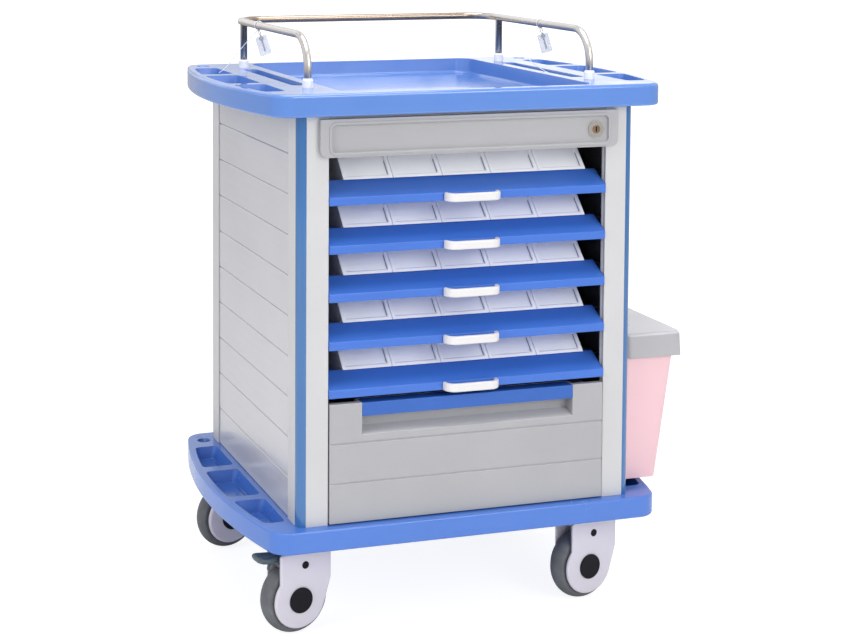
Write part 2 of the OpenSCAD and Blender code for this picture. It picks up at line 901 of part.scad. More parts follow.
// Plate on the wall with an upturned lip that the bin's hook drops behind
module waste_bin_bracket() {
    x = bracket_x;
    y = bracket_y;
    color("gray") difference() {
        block([x, y[0], hook_z - plate_low], [x + bracket_t, y[1], hook_z + plate_high]);
        at_bracket_screws() bracket_screw_hole();
    }
    color("gray") {
        block([x, y[0], hook_z - lip_seat], [x + lip_out, y[1], hook_z - lip_seat + 3]);
        block([x + lip_out - lip_t, y[0], hook_z - lip_seat], [x + lip_out, y[1], hook_z - 1]);
    }
}

// ---------- casters ----------

// Places its child at a caster's swivel axis, turned to the angle of rest
module at_caster(c) {
    translate([c[0] * caster_x, c[1] * caster_y, 0]) rotate([0, 0, caster_turn]) children();
}

// Places its child at the wheel's centre
module at_wheel(c) {
    at_caster(c) translate([-trail, 0, wheel_r]) children();
}

module caster_mounts() {
    color("dimgray") for (c = [FL, FR, RL, RR]) at_caster(c) difference() {
        union() {
            translate([0, 0, race_z]) cylinder(h = base_z - race_z - eps, r = race_r);
            translate([0, 0, base_z - flange_t]) cylinder(h = flange_t - eps, r = flange_r);
        }
        translate([0, 0, race_z - 1]) cylinder(h = base_z - race_z + 1, r = king_r + king_play);
    }
}

// Side view of the fork's cover, about the wheel's centre
module cover_outline() {
    reach = sqrt(pow(cover_front, 2) + pow(cover_knee, 2));
    tangent = atan2(cover_knee, cover_front) - acos(cover_r / reach);
    circle(cover_r);
    polygon([
        [0, 0], [cover_r * cos(tangent), cover_r * sin(tangent)], [cover_front, cover_knee],
        [cover_front, fork_top], [cover_back + 4, fork_top], [cover_back, fork_top - 4],
        [cover_back, sqrt(cover_r * cover_r - cover_back * cover_back)]
    ]);
}

module fork(c) {
    color("thistle") {
        at_wheel(c) {
            difference() {
                union() {
                    for (s = [-1, 1]) translate([0, s * (fork_in + fork_out) / 2, 0])
                        along_y(fork_out - fork_in) cover_outline();
                    block([bridge_back, -fork_in - 1, bridge_low], [cover_front, fork_in + 1, fork_top]);
                    block([cover_front - shield_t, -fork_in - 1, shield_low],
                          [cover_front, fork_in + 1, bridge_low + 1]);
                }
                rotate([90, 0, 0])
                    cylinder(h = 3 * fork_out, r = axle_r + axle_play, center = true);
                translate([pedal_x, 0, pedal_z]) rotate([90, 0, 0])
                    cylinder(h = 2 * pedal_pin_half + 0.4, r = pedal_pin_r + pedal_pin_play,
                             center = true);
            }
        }
        at_caster(c) {
            translate([0, 0, wheel_r + fork_top - 1]) cylinder(h = 2.4, r = neck_r);
            translate([0, 0, wheel_r + fork_top - 1]) cylinder(h = king_len, r = king_r);
        }
    }
}

// Axle with a flat dark cap on each end
module axle(c) {
    color("dimgray") at_wheel(c) rotate([90, 0, 0]) {
        cylinder(h = 2 * fork_out, r = axle_r, center = true);
        for (s = [-1, 1]) translate([0, 0, s * (fork_out + axle_cap_t / 2)])
            cylinder(h = axle_cap_t, r = axle_cap_r, center = true);
    }
}

module tyre(c) {
    crown = 22;
    color("dimgray") at_wheel(c) rotate([90, 0, 0]) rotate_extrude($fn = 96) intersection() {
        translate([hub_r, -tyre_w / 2]) square([wheel_r - hub_r, tyre_w]);
        translate([wheel_r - crown, 0]) circle(crown);
    }
}

module hub(c) {
    bore = axle_r + axle_play;
    color("gray") at_wheel(c) rotate([90, 0, 0]) rotate_extrude($fn = 96) union() {
        translate([bore, -fork_in + 0.5]) square([10, 2 * fork_in - 1]);
        translate([bore + 9, -4]) square([hub_r - bore - 10, 8]);
        translate([hub_r - 6, -tyre_w / 2 + 2]) square([6, tyre_w - 4]);
    }
}

// Foot pedal with a brake shoe that swings towards the tyre
module brake_pedal(c) {
    color("dimgray") at_wheel(c) translate([pedal_x, 0, pedal_z]) {
        along_y(2 * fork_in - 2) circle(pedal_boss_r);
        along_y(2 * pedal_pin_half) circle(pedal_pin_r);
        along_y(2 * pedal_half_w) polygon([
            [0, -4], [pedal_tip - pedal_x + 4, -4], [pedal_tip - pedal_x, 0],
            [pedal_tip - pedal_x + 4, 3], [0, 5]
        ]);
        along_y(2 * pedal_half_w) rotate(shoe_angle)
            translate([0, -shoe_half_w]) square([shoe_len, 2 * shoe_half_w]);
    }
}

// ---------- key tags ----------

tag_size = [21, 3, 35];
tag_drop = 14;
tag_cord_r = 1;
tag_y = [95, 10];

// A tag on a short loop that hangs from a side tube of the rail
module tag(x, y) {
    translate([x, y, rail_z]) {
        rotate([90, 0, 0]) rotate_extrude() translate([rail_d / 2 + tag_cord_r + 0.2, 0])
            circle(tag_cord_r);
        translate([0, 0, -rail_d / 2 - tag_drop])
            cylinder(h = tag_drop - tag_cord_r - 0.2, r = tag_cord_r);
        translate([-tag_size[0] / 2, -tag_size[1] / 2, 1 - rail_d / 2 - tag_drop - tag_size[2]])
            cube(tag_size);
    }
}

module key_tags() {
    color("aliceblue") {
        tag(-rail_x, tag_y[0]);
        tag(rail_x, tag_y[1]);
    }
}

base_tray();
top_tray();
guard_rail();
rail_ferrules();
corner_posts();
corner_strips();
side_slats();
back_slats();
inner_frame();
shelf_runners();
frame_screws();
top_drawer_front();
top_drawer_box();
lock_barrel();
lock_plug();
lock_cam();
shelf(1);  // shelf_1
shelf(2);  // shelf_2
shelf(3);  // shelf_3
shelf(4);  // shelf_4
shelf(5);  // shelf_5
handle(1);  // handle_1
handle(2);  // handle_2
handle(3);  // handle_3
handle(4);  // handle_4
handle(5);  // handle_5
bins(1);  // bins_1
bins(2);  // bins_2
bins(3);  // bins_3
bins(4);  // bins_4
bins(5);  // bins_5
bottom_drawer_front();
bottom_drawer_grip();
bottom_drawer_box();
bottom_slides_fixed();
bottom_slides_inner();
waste_bin();
waste_bin_lid();
waste_bin_pin();
waste_bin_bracket();
caster_mounts();
fork(FL);  // fork_fl
fork(FR);  // fork_fr
fork(RL);  // fork_rl
fork(RR);  // fork_rr
axle(FL);  // axle_fl
axle(FR);  // axle_fr
axle(RL);  // axle_rl
axle(RR);  // axle_rr
tyre(FL);  // tyre_fl
tyre(FR);  // tyre_fr
tyre(RL);  // tyre_rl
tyre(RR);  // tyre_rr
hub(FL);  // hub_fl
hub(FR);  // hub_fr
hub(RL);  // hub_rl
hub(RR);  // hub_rr
brake_pedal(FL);  // brake_pedal_fl
brake_pedal(RR);  // brake_pedal_rr
key_tags();
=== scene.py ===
"""Looks of the instrument cart: finishes for the CAD frame, and finer shapes for what shows."""
import json
import math

import bmesh
import bpy
from mathutils import Matrix, Vector


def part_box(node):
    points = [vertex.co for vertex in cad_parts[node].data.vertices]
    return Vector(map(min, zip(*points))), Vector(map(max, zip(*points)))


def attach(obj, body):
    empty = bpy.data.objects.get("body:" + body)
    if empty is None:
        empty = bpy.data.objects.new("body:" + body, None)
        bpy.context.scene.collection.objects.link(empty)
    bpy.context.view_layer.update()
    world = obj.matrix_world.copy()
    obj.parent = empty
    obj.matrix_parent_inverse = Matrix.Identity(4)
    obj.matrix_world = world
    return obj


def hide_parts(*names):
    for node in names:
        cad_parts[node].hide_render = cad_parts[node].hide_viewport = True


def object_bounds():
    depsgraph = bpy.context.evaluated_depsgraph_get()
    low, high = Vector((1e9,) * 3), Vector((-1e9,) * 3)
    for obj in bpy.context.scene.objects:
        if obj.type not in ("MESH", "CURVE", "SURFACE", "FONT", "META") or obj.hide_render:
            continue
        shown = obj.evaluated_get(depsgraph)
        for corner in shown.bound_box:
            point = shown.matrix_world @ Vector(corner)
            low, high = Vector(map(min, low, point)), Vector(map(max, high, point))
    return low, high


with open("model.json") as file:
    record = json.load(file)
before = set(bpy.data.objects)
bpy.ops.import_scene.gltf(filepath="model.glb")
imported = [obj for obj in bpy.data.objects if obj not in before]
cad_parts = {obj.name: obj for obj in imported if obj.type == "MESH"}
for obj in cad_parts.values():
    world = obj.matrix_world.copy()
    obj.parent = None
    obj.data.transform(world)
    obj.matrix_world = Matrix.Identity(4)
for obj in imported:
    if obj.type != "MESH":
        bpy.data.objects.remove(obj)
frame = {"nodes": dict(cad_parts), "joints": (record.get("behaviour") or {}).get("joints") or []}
cad_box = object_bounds()

# The scene is in metres. Small sizes are written in millimetres and turned into metres with MM.
MM = 0.001
JOINTS = {joint["name"]: joint for joint in frame["joints"]}
CORNERS = ("fl", "fr", "rl", "rr")
SHELVES = range(1, 6)

SAME_POINT = 0.002 * MM
NEAR = 0.1 * MM
ONE_FLAT = math.radians(0.4)
SHARP = math.radians(30)
SHARP_ON_CAD = math.radians(32)
POCKET_MIN = 22 * MM
SQUARE = ((-1, -1), (1, -1), (1, 1), (-1, 1))


# ---------- node helpers ----------

def srgb(red, green, blue):
    """A linear colour from 8-bit sRGB values."""
    def linear(value):
        value /= 255
        return value / 12.92 if value <= 0.04045 else ((value + 0.055) / 1.055) ** 2.4
    return (linear(red), linear(green), linear(blue), 1)


class Graph:
    """A material's node tree, with short calls for the nodes that the finishes share."""

    def __init__(self, name):
        self.material = bpy.data.materials.new(name)
        self.material.use_nodes = True
        self.tree = self.material.node_tree
        self.shader = self.tree.nodes["Principled BSDF"]
        self.place = self.tree.nodes.new("ShaderNodeTexCoord").outputs["Object"]

    def link(self, source, target):
        self.tree.links.new(source, target)

    def set(self, **values):
        """Sets the shader's inputs, whose names have _ for a space."""
        for name, value in values.items():
            target = self.shader.inputs[name.replace("_", " ")]
            if hasattr(value, "is_linked"):
                self.link(value, target)
            else:
                target.default_value = value

    def noise(self, scale, detail=2.0, stretch=(1, 1, 1), distortion=0.0):
        """Noise in the object's own space; a larger stretch makes finer grain along that axis."""
        mapping = self.tree.nodes.new("ShaderNodeMapping")
        mapping.inputs["Scale"].default_value = stretch
        self.link(self.place, mapping.inputs["Vector"])
        node = self.tree.nodes.new("ShaderNodeTexNoise")
        node.inputs["Scale"].default_value = scale
        node.inputs["Detail"].default_value = detail
        node.inputs["Distortion"].default_value = distortion
        self.link(mapping.outputs["Vector"], node.inputs["Vector"])
        return node.outputs["Fac"]

    def normal(self):
        """The direction that the surface faces."""
        return self.tree.nodes.new("ShaderNodeNewGeometry").outputs["Normal"]

    def part_of(self, vector, axis):
        """One coordinate of a vector."""
        split = self.tree.nodes.new("ShaderNodeSeparateXYZ")
        self.link(vector, split.inputs[0])
        return split.outputs[axis]

    def cells(self, scale):
        """Rounded bumps, packed side by side."""
        node = self.tree.nodes.new("ShaderNodeTexVoronoi")
        node.inputs["Scale"].default_value = scale
        self.link(self.place, node.inputs["Vector"])
        return node.outputs["Distance"]

    def ramp(self, value, low, high, start=0.3, end=0.7):
        """Maps value from start..end to low..high."""
        node = self.tree.nodes.new("ShaderNodeMapRange")
        for name, number in (("From Min", start), ("From Max", end), ("To Min", low), ("To Max", high)):
            node.inputs[name].default_value = number
        self.link(value, node.inputs["Value"])
        return node.outputs["Result"]

    def mix(self, amount, first, second):
        """A colour between first and second."""
        node = self.tree.nodes.new("ShaderNodeMix")
        node.data_type = "RGBA"
        for target, value in ((node.inputs[0], amount), (node.inputs[6], first), (node.inputs[7], second)):
            if hasattr(value, "is_linked"):
                self.link(value, target)
            else:
                target.default_value = value
        return node.outputs[2]

    def bump(self, height, distance, under=None):
        """The normal of a surface raised by height, on top of the bumps under it."""
        node = self.tree.nodes.new("ShaderNodeBump")
        node.inputs["Distance"].default_value = distance
        node.inputs["Strength"].default_value = 1.0
        self.link(height, node.inputs["Height"])
        if under is not None:
            self.link(under, node.inputs["Normal"])
        return node.outputs["Normal"]


def shade(colour, factor):
    """A colour made lighter or darker."""
    return tuple(min(1.0, channel * factor) for channel in colour[:3]) + (1,)


def plastic(name, colour, rough=(0.25, 0.4), grain=420, grain_depth=0.02, wave_depth=0.0,
            mottle=0.05, coat=0.0, streak=None, speck=0.0, top_light=0.0, shine=0.5):
    """Moulded plastic: cloudy colour, handled patches that shine more, grain and slow waves.

    The argument for lighter top faces sets how much lighter the faces that look up are, as painted light from
    above.
    """
    graph = Graph(name)
    clouds = graph.noise(5.5, 3.0)
    tone = graph.mix(graph.ramp(clouds, 0, 1), shade(colour, 1 - mottle), shade(colour, 1 + mottle))
    if speck:
        dots = graph.ramp(graph.noise(900, 1.0), 0, 1, 0.62, 0.75)
        tone = graph.mix(dots, tone, shade(colour, 1 - speck))
    # painted light: the faces that look up are made lighter, as if lit from above
    if top_light:
        tone = graph.mix(graph.ramp(graph.part_of(graph.normal(), "Z"), 0, 1, 0.15, 0.9), tone,
                         shade(colour, 1 + top_light))
    handled = graph.noise(14, 4.0, stretch=streak or (1, 1, 1), distortion=0.4)
    fine = graph.noise(grain, 2.0)
    normal = graph.bump(fine, grain_depth * MM)
    if wave_depth:
        normal = graph.bump(graph.noise(16, 1.0), wave_depth * MM, normal)
    if streak:
        normal = graph.bump(graph.noise(60, 2.0, stretch=streak), 0.4 * grain_depth * MM, normal)
    graph.set(Base_Color=tone, Roughness=graph.ramp(handled, *rough), Normal=normal, IOR=1.5,
              Specular_IOR_Level=shine)
    if coat:
        graph.set(Coat_Weight=coat, Coat_Roughness=0.06)
    return graph.material


def metal(name, colour, rough=(0.12, 0.28), grain=900, grain_depth=0.004, stretch=(1, 1, 1), recolour=None):
    """Bare metal: fine grain, faint smudges and a slow change of tone, which recolour can work on."""
    smudge = 0.06
    graph = Graph(name)
    slow = graph.noise(9, 3.0)
    tone = graph.mix(graph.ramp(slow, 0, 1), shade(colour, 1 - smudge), shade(colour, 1 + smudge))
    if recolour:
        tone = recolour(graph, tone)
    fine = graph.noise(grain, 2.0, stretch=stretch)
    patches = graph.noise(30, 5.0, stretch=stretch)
    graph.set(Base_Color=tone, Metallic=1.0, Roughness=graph.ramp(patches, *rough),
              Normal=graph.bump(fine, grain_depth * MM))
    return graph.material


def painted_room_reflection(graph, tone):
    """The rail's tone with a brown room painted in as a reflection: in the posts' middles, on the far bar,
    and under the bars, where it is painted shade as well.
    """
    brown = srgb(150, 132, 116)
    rail_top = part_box("guard_rail")[1]
    bend_z = rail_top.z - 55 * MM
    facing = graph.tree.nodes.new("ShaderNodeLayerWeight")
    facing.inputs["Blend"].default_value = 0.5
    up = graph.part_of(graph.normal(), "Z")
    posts = graph.mix(graph.ramp(facing.outputs["Facing"], 0.5, 0, 0, 0.5), tone, brown)
    side_bars = graph.mix(graph.ramp(up, 1, 0, -0.8, 0), tone, brown)
    far_bar = graph.mix(graph.ramp(up, 1, 0.8, 0, 1), tone, brown)
    is_far = graph.ramp(graph.part_of(graph.place, "Y"), 0, 1, rail_top.y - 35 * MM, rail_top.y - 15 * MM)
    is_bar = graph.ramp(graph.part_of(graph.place, "Z"), 0, 1, bend_z - 20 * MM, bend_z + 20 * MM)
    return graph.mix(is_bar, posts, graph.mix(is_far, side_bars, far_bar))


def coated(name, colour, rough=(0.38, 0.5), peel_depth=0.03):
    """Powder coat over metal, with its orange peel."""
    mottle = 0.03
    graph = Graph(name)
    clouds = graph.ramp(graph.noise(4, 2.0), 0, 1)
    tone = graph.mix(clouds, shade(colour, 1 - mottle), shade(colour, 1 + mottle))
    dots = graph.ramp(graph.noise(1100, 1.0), 0, 1, 0.6, 0.8)
    tone = graph.mix(dots, tone, shade(colour, 0.9))
    graph.set(Base_Color=tone, Roughness=graph.ramp(graph.noise(20, 3.0), *rough),
              Normal=graph.bump(graph.cells(700), peel_depth * MM), IOR=1.5)
    return graph.material


def rubber(name, colour):
    """Wheel rubber with floor dust in its grain."""
    graph = Graph(name)
    dust = graph.ramp(graph.noise(38, 5.0, distortion=0.8), 0, 0.55, 0.42, 0.75)
    tone = graph.mix(dust, colour, shade(colour, 1.6))
    graph.set(Base_Color=tone, Roughness=graph.ramp(graph.noise(60, 3.0), 0.5, 0.72),
              Normal=graph.bump(graph.noise(800, 3.0), 0.06 * MM), IOR=1.5)
    return graph.material


def clear(name, colour):
    """Clear soft plastic film, slightly milky."""
    graph = Graph(name)
    cloud = graph.noise(60, 2.0)
    graph.set(Base_Color=graph.mix(cloud, colour, shade(colour, 0.9)), Alpha=graph.ramp(cloud, 0.45, 0.6),
              Roughness=graph.ramp(graph.noise(90, 3.0), 0.08, 0.25), IOR=1.4,
              Normal=graph.bump(graph.noise(120, 2.0), 0.08 * MM))
    return graph.material


TRAY_BLUE = plastic("tray_blue", srgb(86, 127, 198), rough=(0.14, 0.26), grain=260, grain_depth=0.003,
                    wave_depth=0.1, mottle=0.03, coat=0.5)
BASE_BLUE = plastic("base_blue", srgb(68, 113, 194), rough=(0.16, 0.28), grain=260, grain_depth=0.003,
                    wave_depth=0.1, mottle=0.03, coat=0.2)
SHELF_BLUE = plastic("shelf_blue", srgb(58, 106, 194), rough=(0.3, 0.42), grain=500, grain_depth=0.02,
                     wave_depth=0.1, mottle=0.04)
GRIP_BLUE = plastic("grip_blue", srgb(40, 90, 172), rough=(0.32, 0.45), grain=500, grain_depth=0.02,
                    mottle=0.04)
POST_WHITE = coated("post_white", srgb(191, 191, 193))
STRIP_BLUE = plastic("strip_blue", srgb(50, 102, 158), rough=(0.1, 0.2), grain=180, grain_depth=0.01,
                     mottle=0.06, coat=0.6, streak=(8, 8, 0.6))
SLAT_GREY = plastic("slat_grey", srgb(186, 185, 190), rough=(0.14, 0.26), grain=380, grain_depth=0.012,
                    wave_depth=0.12, mottle=0.025, coat=0.25, streak=(9, 0.5, 9))
# its top faces get painted light from above
DRAWER_GREY = plastic("drawer_grey", srgb(162, 162, 165), rough=(0.4, 0.52), grain=1000, grain_depth=0.05,
                      mottle=0.035, speck=0.1, top_light=0.35)
BOX_GREY = plastic("box_grey", srgb(206, 206, 209), rough=(0.4, 0.55), grain=700, grain_depth=0.03)
WHITE = plastic("white_plastic", srgb(238, 238, 242), rough=(0.28, 0.4), grain=350, grain_depth=0.015,
                wave_depth=0.05, mottle=0.02)
HANDLE_WHITE = plastic("handle_white", srgb(214, 212, 213), rough=(0.3, 0.45), grain=350, grain_depth=0.015,
                       wave_depth=0.05, mottle=0.02)
BIN_WHITE = plastic("bin_white", srgb(246, 247, 252), rough=(0.3, 0.42), grain=600, grain_depth=0.02,
                    mottle=0.025)
# stainless steel with a painted reflection of a brown room in its tone
STEEL = metal("stainless", srgb(214, 210, 208), rough=(0.26, 0.3), grain=1500, grain_depth=0.0,
              recolour=painted_room_reflection)
ZINC = metal("zinc_steel", srgb(196, 198, 202), rough=(0.28, 0.45), grain=700, grain_depth=0.01)
ALUMINIUM = metal("frame_aluminium", srgb(160, 161, 168), rough=(0.3, 0.45), grain=300, grain_depth=0.01,
                  stretch=(1, 1, 0.05))
RUNNER = coated("runner_black", srgb(58, 58, 62), rough=(0.35, 0.5))
CHROME = metal("chrome", srgb(222, 217, 212), rough=(0.06, 0.14), grain=900, grain_depth=0.001)
KEY = metal("key_steel", srgb(120, 116, 112), rough=(0.25, 0.4), grain=900, grain_depth=0.004)
BRASS = metal("brass_key", srgb(168, 142, 118), rough=(0.15, 0.3), grain=1200, grain_depth=0.004)
PINK = plastic("pink_plastic", srgb(226, 188, 195), rough=(0.34, 0.46), grain=600, grain_depth=0.02,
               wave_depth=0.15, mottle=0.02)
# its top faces get painted light from above
LID_GREY = plastic("lid_grey", srgb(168, 168, 172), rough=(0.26, 0.38), grain=700, grain_depth=0.02,
                   mottle=0.02, coat=0.1, top_light=0.55)
COVER = plastic("caster_cover", srgb(200, 196, 206), rough=(0.36, 0.5), grain=900, grain_depth=0.03,
                mottle=0.025, speck=0.06)
TYRE = rubber("tyre_grey", srgb(88, 90, 94))
CAP = plastic("cap_black", srgb(17, 17, 23), rough=(0.4, 0.55), grain=900, grain_depth=0.03,
              mottle=0.08, shine=0.15)
PEDAL = plastic("pedal_grey", srgb(70, 84, 92), rough=(0.32, 0.48), grain=700, grain_depth=0.05,
                mottle=0.06)
SWIVEL = coated("swivel_steel", srgb(96, 98, 104), rough=(0.3, 0.45), peel_depth=0.02)
CLEAR = clear("tag_clear", srgb(220, 224, 234))
# dark strips of painted shade in the label slits
SLIT_SHADE = plastic("slit_shade", srgb(128, 136, 158), rough=(0.4, 0.5), grain=900, grain_depth=0.02)
CORD = plastic("cord_white", srgb(216, 216, 222), rough=(0.4, 0.55), grain=900, grain_depth=0.05)


# ---------- mesh helpers ----------

def weighted_normals(piece):
    weighted = piece.modifiers.new("weighted", "WEIGHTED_NORMAL")
    weighted.keep_sharp = True
    weighted.weight = 50


def new_piece(name, bm, material, body):
    """Turns a bmesh into a piece that rides on a body."""
    bmesh.ops.recalc_face_normals(bm, faces=bm.faces)
    mesh = bpy.data.meshes.new(name)
    bm.to_mesh(mesh)
    bm.free()
    for polygon in mesh.polygons:
        polygon.use_smooth = True
    mesh.materials.append(material)
    piece = bpy.data.objects.new(name, mesh)
    bpy.context.scene.collection.objects.link(piece)
    weighted_normals(piece)
    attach(piece, body)
    return piece


def cleaned(node):
    """A bmesh of a CAD node with its doubled points joined and its flat faces whole."""
    bm = bmesh.new()
    bm.from_mesh(frame["nodes"][node].data)
    bmesh.ops.remove_doubles(bm, verts=bm.verts, dist=SAME_POINT)
    bmesh.ops.dissolve_limit(bm, angle_limit=ONE_FLAT, verts=bm.verts, edges=bm.edges)
    bm.normal_update()
    return bm


def sharp_edges(bm, test):
    """The sharp edges that pass a test."""
    return [edge for edge in bm.edges
            if len(edge.link_faces) == 2 and edge.calc_face_angle(0) > SHARP and test(edge)]


def round_edges(bm, edges, radius, segments):
    """Rounds edges, with the radius in mm."""
    if edges:
        bmesh.ops.bevel(bm, geom=edges, offset=radius * MM, segments=segments, profile=0.5,
                        affect="EDGES", clamp_overlap=True, loop_slide=True)
        bm.normal_update()


def soften(piece, width, segments, dissolve):
    """Gives a CAD node small round edges with modifiers; its own mesh stays as it is.

    dissolve joins the triangles of each flat first. It is left out where a flat goes round several
    openings, since one such polygon can close them.
    """
    custom = piece.data.attributes.get("custom_normal")
    if custom:
        piece.data.attributes.remove(custom)
    for polygon in piece.data.polygons:
        polygon.use_smooth = True
    weld = piece.modifiers.new("weld", "WELD")
    weld.merge_threshold = SAME_POINT
    if dissolve:
        flat = piece.modifiers.new("flat", "DECIMATE")
        flat.decimate_type = "DISSOLVE"
        flat.angle_limit = ONE_FLAT
    if width:
        edge = piece.modifiers.new("round", "BEVEL")
        edge.width = width * MM
        edge.segments = segments
        edge.limit_method = "ANGLE"
        edge.angle_limit = SHARP_ON_CAD
        edge.miter_outer = "MITER_ARC"
    weighted_normals(piece)


def arc(centre, radius, start, end, count):
    """Points of an arc in the plane, from start to end in degrees."""
    return [(centre[0] + radius * math.cos(math.radians(start + (end - start) * i / count)),
             centre[1] + radius * math.sin(math.radians(start + (end - start) * i / count)))
            for i in range(count + 1)]


def rounded_rectangle(low, high, radius, count):
    """Points round a rectangle with round corners, from the right-hand one of its high side."""
    left, right = low[0] + radius, high[0] - radius
    near, far = low[1] + radius, high[1] - radius
    points = []
    for centre, start in (((right, far), 0), ((left, far), 90), ((left, near), 180), ((right, near), 270)):
        points += arc(centre, radius, start, start + 90, count)
    return points


def loft(bm, rings, loop=False):
    """Skins rings of equal length and closes the ends; loop joins the last ring to the first instead."""
    layers = [[bm.verts.new(point) for point in ring] for ring in rings]
    count = len(layers[0])
    pairs = list(zip(layers, layers[1:]))
    if loop:
        pairs.append((layers[-1], layers[0]))
    for first, second in pairs:
        for i in range(count):
            bm.faces.new((first[i], first[(i + 1) % count], second[(i + 1) % count], second[i]))
    if not loop:
        bm.faces.new(layers[0][::-1])
        bm.faces.new(layers[-1])


def turn_about(radius, k, sides):
    """The k-th of the points that stand evenly on a circle."""
    angle = 2 * math.pi * k / sides
    return radius * math.cos(angle), radius * math.sin(angle)


def sweep(bm, path, radius, sides=12, closed=False):
    """A round bar along a path of points."""
    rings = []
    normal = None
    last = len(path) - 1
    for i, point in enumerate(path):
        before = path[i - 1] if i or closed else path[0]
        after = path[(i + 1) % len(path)] if i < last or closed else path[last]
        along = (Vector(after) - Vector(before)).normalized()
        if normal is None:
            normal = along.orthogonal().normalized()
        normal = (normal - along * normal.dot(along)).normalized()
        side = along.cross(normal)
        spots = [turn_about(radius, k, sides) for k in range(sides)]
        rings.append([Vector(point) + a * normal + b * side for a, b in spots])
    loft(bm, rings, loop=closed)


def lathe(bm, profile, place, sides=32):
    """Turns a profile of (radius, height) about the local z axis of place; the ends close at the axis."""
    loft(bm, [[place @ Vector((*turn_about(radius, k, sides), height)) for k in range(sides)]
              for radius, height in profile])


def spline(points, steps=10):
    """A smooth path through points."""
    path = []
    padded = [points[0]] + list(points) + [points[-1]]
    for i in range(1, len(padded) - 2):
        a, b, c, d = (Vector(p) for p in padded[i - 1:i + 3])
        for k in range(steps):
            t = k / steps
            path.append(0.5 * ((2 * b) + (c - a) * t + (2 * a - 5 * b + 4 * c - d) * t ** 2
                               + (3 * b - a - 3 * c + d) * t ** 3))
    path.append(Vector(points[-1]))
    return path


# ---------- trays ----------

def walls(bm):
    """Groups of joined upright faces, each with its lowest and highest corner."""
    left = {face for face in bm.faces if abs(face.normal.z) < 0.5}
    groups = []
    for start in bm.faces:
        if start not in left:
            continue
        left.remove(start)
        group = [start]
        for member in group:
            for edge in member.edges:
                for face in edge.link_faces:
                    if face in left:
                        left.remove(face)
                        group.append(face)
        points = [vert.co for face in group for vert in face.verts]
        low = Vector([min(p[k] for p in points) for k in range(3)])
        high = Vector([max(p[k] for p in points) for k in range(3)])
        groups.append((group, low, high))
    return groups


def pockets(bm, top, bottom):
    """The walls of the pockets that open at the top and have a floor; small holes aren't pockets."""
    return [(group, low, high) for group, low, high in walls(bm)
            if high.z >= top - MM and low.z >= bottom + MM
            and min(high.x - low.x, high.y - low.y) >= POCKET_MIN]


def edges_of(group):
    """The sharp edges of a group of faces, each once and in a fixed order."""
    edges = dict.fromkeys(edge for face in group for edge in face.edges)
    return [edge for edge in edges if len(edge.link_faces) == 2 and edge.calc_face_angle(0) >= SHARP]


def draft_floors(bm, top, bottom, lean):
    """Leans the pocket walls by pulling each pocket's floor in by lean."""
    for group, low, high in pockets(bm, top, bottom):
        size = high - low
        middle = (low + high) / 2
        scale = (1 - 2 * lean * MM / size.x, 1 - 2 * lean * MM / size.y)
        for vert in {v for face in group for v in face.verts if v.co.z < low.z + NEAR}:
            for k in (0, 1):
                vert.co[k] = middle[k] + (vert.co[k] - middle[k]) * scale[k]
    bm.normal_update()


def pocket_edges(bm, top, bottom, kind):
    """The sharp edges of the pockets that are their corners, floors or rims."""
    found = []
    for group, low, high in pockets(bm, top, bottom):
        for edge in edges_of(group):
            heights = [vert.co.z for vert in edge.verts]
            is_kind = {"corner": max(heights) - min(heights) > 0.8 * (high.z - low.z),
                       "floor": max(heights) < low.z + NEAR,
                       "rim": min(heights) > top - NEAR}
            if is_kind[kind]:
                found.append(edge)
    return found


def outer_edges(bm, level):
    """The sharp edges of the tray's outline at one level."""
    group = max(walls(bm), key=lambda entry: (entry[2] - entry[1]).length)[0]
    return [edge for edge in edges_of(group) if all(abs(vert.co.z - level) < NEAR for vert in edge.verts)]


def tray(node, material, lean, rim, top_edge, bottom_edge):
    """A moulded tray: pockets with leaning walls and round corners, and a soft outer edge."""
    low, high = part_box(node)
    bm = cleaned(node)
    round_edges(bm, pocket_edges(bm, high.z, low.z, "corner"), 9, 5)
    draft_floors(bm, high.z, low.z, lean)
    round_edges(bm, pocket_edges(bm, high.z, low.z, "floor"), 5, 4)
    round_edges(bm, pocket_edges(bm, high.z, low.z, "rim"), rim, 3)
    round_edges(bm, outer_edges(bm, high.z), top_edge, 5)
    round_edges(bm, outer_edges(bm, low.z), bottom_edge, 3)
    piece = new_piece(node + "_shell", bm, material, "cabinet")
    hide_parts(node)


# ---------- casters ----------

BOLT_CAP_X = 8.5
BOLT_CAP_Z = 56.5
BOLT_CAP_R = 6.2


def caster_place(corner):
    """The matrix from a caster's own space (x along the wheel, y along the axle) to the cart's."""
    spin = JOINTS["spin_" + corner]
    axle = Vector(spin["axis"]).normalized()
    up = Vector((0, 0, 1))
    along = axle.cross(up)
    turn = Matrix((along, axle, up)).transposed().to_4x4()
    return Matrix.Translation(spin["pos_m"]) @ turn


